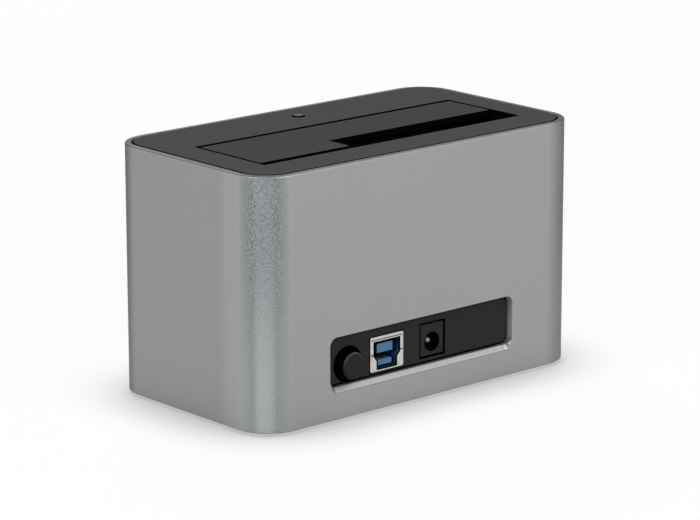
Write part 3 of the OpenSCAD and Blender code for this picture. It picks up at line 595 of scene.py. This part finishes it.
# each rigid piece keeps its solid's shape, with softened edges
softened = {
    # finish, body, slot, edge radius in mm
    "aluminium_shell": ("blastedAluminium", "base", "shell", 0.14),
    "top_cover": ("coverPlastic", "base", "cover", 0.08),
    "slot_flap": ("flapPlastic", "flap", "cover", 0.2),
    "drive_guide": ("guidePlastic", "base", "guide", 0.1),
    "base_cover": ("guidePlastic", "base", "guide", 0.12),
    "rear_panel": ("panelPlastic", "base", "panel", 0.1),
    "sata_housing": ("blackMoulding", "base", "black_moulding", 0.06),
    "dc_jack_body": ("panelPlastic", "base", "black_moulding", 0.1),
    "usb_shell": ("portTin", "base", "steel", 0.08),
    "usb_housing": ("shadedPortBlue", "base", "port_blue", 0.04),
    "usb_tongues": ("portBlue", "base", "port_blue", 0.2),
    "usb_contacts": ("shadedGold", "base", "gold", 0.03),
    "sata_contacts": ("goldFlash", "base", "gold", 0.04),
    "dc_jack_pin": ("dullSteel", "base", "steel", 0.12),
    "dc_jack_leaf": ("brightSteel", "base", "steel", 0.05),
    "switch_body": ("blackMoulding", "base", "black_moulding", 0.2),
    "switch_plunger": ("plungerPlastic", "button", "plunger", 0.15),
    "power_button": ("buttonPlastic", "button", "button", 0.12),
    "light_pipe": ("frostedLens", "base", "light", 0.06),
    "status_light": ("frostedLens", "base", "light", 0.1),
    "hinge_pin": ("dullSteel", "base", "steel", 0.1),
    "guide_screws": ("brightSteel", "base", "steel", 0.05),
    "board_screws": ("brightSteel", "base", "steel", 0.05),
    "base_screws": ("brightSteel", "base", "steel", 0.05),
    "rubber_feet": ("footRubber", "base", "rubber", 0.12),
    "main_board": ("solderMask", "base", "board", 0.1),
    "bridge_chip": ("componentBody", "base", "component", 0.05),
    "power_inductor": ("componentBody", "base", "component", 0.1),
    "capacitors": ("canAluminium", "base", "steel", 0.06),
    "crystal": ("canAluminium", "base", "steel", 0.15),
}

# the tube's rim, and the window's sill and ends, get painted light and shade, partly standing for the finer
# finish of their cut faces
cutFaceLightSetup = {
    "rimTop": -0.6,  # painted shade below 0 and painted light above
    "rimSide": -0.65,
    "rimRear": -0.2,
    "sill": 0.24,
    "sillEdge": -0.5,
    "reveal": 1.0,
    "rimFade": 1.6,
    "revealFade": 2,
    "rimFrom": 80.7,  # places in mm
    "sillTo": 12,
    "revealHeight": (10, 28),
    "revealSide": (36, 41),
    "revealFrom": 33,
    "level": 0.95,  # how far a face's normal leans
    "leaning": 0.5,
    "sillLean": 0.62,
    "sillEdgeLean": 0.1,
}


def cutFaceLightTone(at, n, setup):
    if at.z > setup["rimFrom"] and n.z > setup["level"]:
        return setup["rimTop"]
    # the rim's chamfer gets painted shade, deeper on the ends than at the rear
    if at.z > setup["rimFrom"] and n.z > setup["leaning"]:
        across = abs(n.x) / (abs(n.x) + abs(n.y))
        rearShare = max(1 - setup["rimFade"] * across, 0)
        return setup["rimSide"] + (setup["rimRear"] - setup["rimSide"]) * rearShare
    # the sill gets painted light, its outer edge painted shade
    if at.z < setup["sillTo"] and n.y > setup["leaning"] and n.z > setup["sillEdgeLean"]:
        return setup["sill"] if n.z > setup["sillLean"] else setup["sillEdge"]
    low, high = setup["revealHeight"]
    near, farShade = setup["revealSide"]
    inWindow = low < at.z < high and near < abs(at.x) < farShade and at.y > setup["revealFrom"]
    # the window's ends get painted light, fading where they turn upwards
    if inWindow and abs(n.x) > setup["leaning"]:
        return setup["reveal"] * max(1 - setup["revealFade"] * max(n.z, 0), 0)
    return 0


def paintCutFaceLight(bm, setup):
    tone = bm.loops.layers.float.new("cutFaceLightTone")
    wearAndLight = bm.loops.layers.float["edgeWearAndLight"]
    bm.normal_update()
    for face in bm.faces:
        value = cutFaceLightTone(face.calc_center_median() / mm, face.normal, setup)
        for loop in face.loops:
            loop[tone] = value
            if value < 0:
                loop[wearAndLight] = 0


# painted highlight: the cap's bevel is paler towards its upper side
capSetup = {"bevel": (0.3, 0.99), "highlight": 1.3}


def paintCapHighlight(bm, setup):
    wearAndLight = bm.loops.layers.float["edgeWearAndLight"]
    low, high = setup["bevel"]
    bm.normal_update()
    for face in bm.faces:
        if low < face.normal.y < high:
            for loop in face.loops:
                loop[wearAndLight] = max(face.normal.z * setup["highlight"], 0)


# the sheet of the USB socket is eased all round its mouth
mouthSetup = {"leadIn": 0.36, "x": (9.4, 20.8), "z": (12.9, 22.3), "front": 34.8, "lip": 35.1}


def inMouth(at, setup=mouthSetup):
    (left, right), (low, high) = setup["x"], setup["z"]
    return at.y > setup["front"] and left < at.x < right and low < at.z < high


def easeMouth(bm, setup):
    rim = [e for e in sharpEdges(bm)
           if all(v.co.y > setup["lip"] * mm and inMouth(v.co / mm) for v in e.verts)]
    softenEdges(bm, rim, setup["leadIn"] * mm, 1)


# walls in the dark of a slot, a gap or a bore get a second finish, a near-black painted shade: places in mm
darkSetup = {
    "finish": "slotShadeBlack",
    "coverFrom": 78.8,
    "flapTo": 80,
    "panelTo": 34.5,
    "jackCentre": (-4.3, 17.7),
    "jackReach": 3.4,
    "jackTo": 34,
    "wall": 0.6,  # a wall's normal stays below these
    "jackWall": 0.9,
    "lensWall": 0.95,
    "mouthWall": 0.985,
}


def inJack(at):
    x, z = darkSetup["jackCentre"]
    return math.hypot(at.x - x, at.z - z) < darkSetup["jackReach"]


darkWalls = {
    "top_cover": lambda at, n: n.z < darkSetup["wall"] and at.z > darkSetup["coverFrom"],
    "slot_flap": lambda at, n: n.z < darkSetup["wall"] or at.z < darkSetup["flapTo"],
    "rear_panel": lambda at, n: n.y < darkSetup["wall"] or at.y < darkSetup["panelTo"],
    "dc_jack_body": lambda at, n: inJack(at) and (
        n.y < darkSetup["jackWall"] or at.y < darkSetup["jackTo"]),
    "light_pipe": lambda at, n: n.z < darkSetup["lensWall"],
    "power_button": lambda at, n: n.y < capSetup["bevel"][0],
    "usb_shell": lambda at, n: n.y < darkSetup["mouthWall"] and inMouth(at),
}


def darkenFaces(bm, choose):
    bm.normal_update()
    for face in bm.faces:
        if choose(face.calc_center_median() / mm, face.normal):
            face.material_index = 1


for node, (finish, body, slot, width) in softened.items():
    bm = solidCopy(node)
    looks = [finish]
    if node == "usb_shell":
        easeMouth(bm, mouthSetup)
    softenEdges(bm, sharpEdges(bm), width * mm)
    if node == "aluminium_shell":
        paintCutFaceLight(bm, cutFaceLightSetup)
    if node == "power_button":
        paintCapHighlight(bm, capSetup)
    if node in darkWalls:
        darkenFaces(bm, darkWalls[node])
        looks.append(darkSetup["finish"])
    addPiece(node + "_skin", bm, looks, body, [node])
print("solid pieces softened:", len(softened))


# the folded sheet of the USB socket shows a seam along its lip and a nick on each side
usbSetup = {
    "face": 35.2,
    "proud": 0.03,
    "sunk": 0.1,
    "bevel": 0.02,
    # centre x, centre z, width, height
    "marks": [(15.1, 22.72, 12.9, 0.34), (8.95, 18.0, 1.1, 0.5), (21.25, 18.0, 1.1, 0.5)],
}


def usbSeams(setup):
    bm = bmesh.new()
    turned = Matrix.Rotation(math.radians(90), 4, "X")
    for x, z, width, height in setup["marks"]:
        place = Matrix.Translation((x * mm, (setup["face"] - setup["sunk"]) * mm, z * mm))
        stretch = Matrix.Diagonal((width * mm, 1, height * mm, 1))
        bmesh.ops.create_grid(bm, x_segments=1, y_segments=1, size=0.5,
                              matrix=place @ stretch @ turned)
    raised = bmesh.ops.extrude_face_region(bm, geom=bm.faces[:])["geom"]
    rise = Vector((0, (setup["sunk"] + setup["proud"]) * mm, 0))
    top = [v for v in raised if isinstance(v, bmesh.types.BMVert)]
    bmesh.ops.translate(bm, verts=top, vec=rise)
    bmesh.ops.recalc_face_normals(bm, faces=bm.faces[:])
    rim = [e for e in bm.edges if min(v.co.y for v in e.verts) > setup["face"] * mm]
    softenEdges(bm, rim, setup["bevel"] * mm)
    addPiece("usb_seams", bm, ["seamTin"], "base")


usbSeams(usbSetup)
print("USB seams marked:", len(usbSetup["marks"]))


# torsion spring: its coils turn with the flap by degrees
springSetup = {
    "flapEnd": (7.0, -8.0, 77.05),
    "coverEnd": (11.75, -8.0, 77.05),
    "ease": 0.05,
    "smoothAngle": 80,
}
bm = solidCopy("flap_spring")
bmesh.ops.smooth_vert(bm, verts=bm.verts[:], factor=springSetup["ease"],
                      use_axis_x=True, use_axis_y=True, use_axis_z=True)
spring = addPiece("flap_spring_skin", bm, ["brightSteel"], None, ["flap_spring"],
                  springSetup["smoothAngle"])
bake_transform(spring, "base", "flap", start=[c * mm for c in springSetup["coverEnd"]],
         end=[c * mm for c in springSetup["flapEnd"]])
print("flap spring wound")
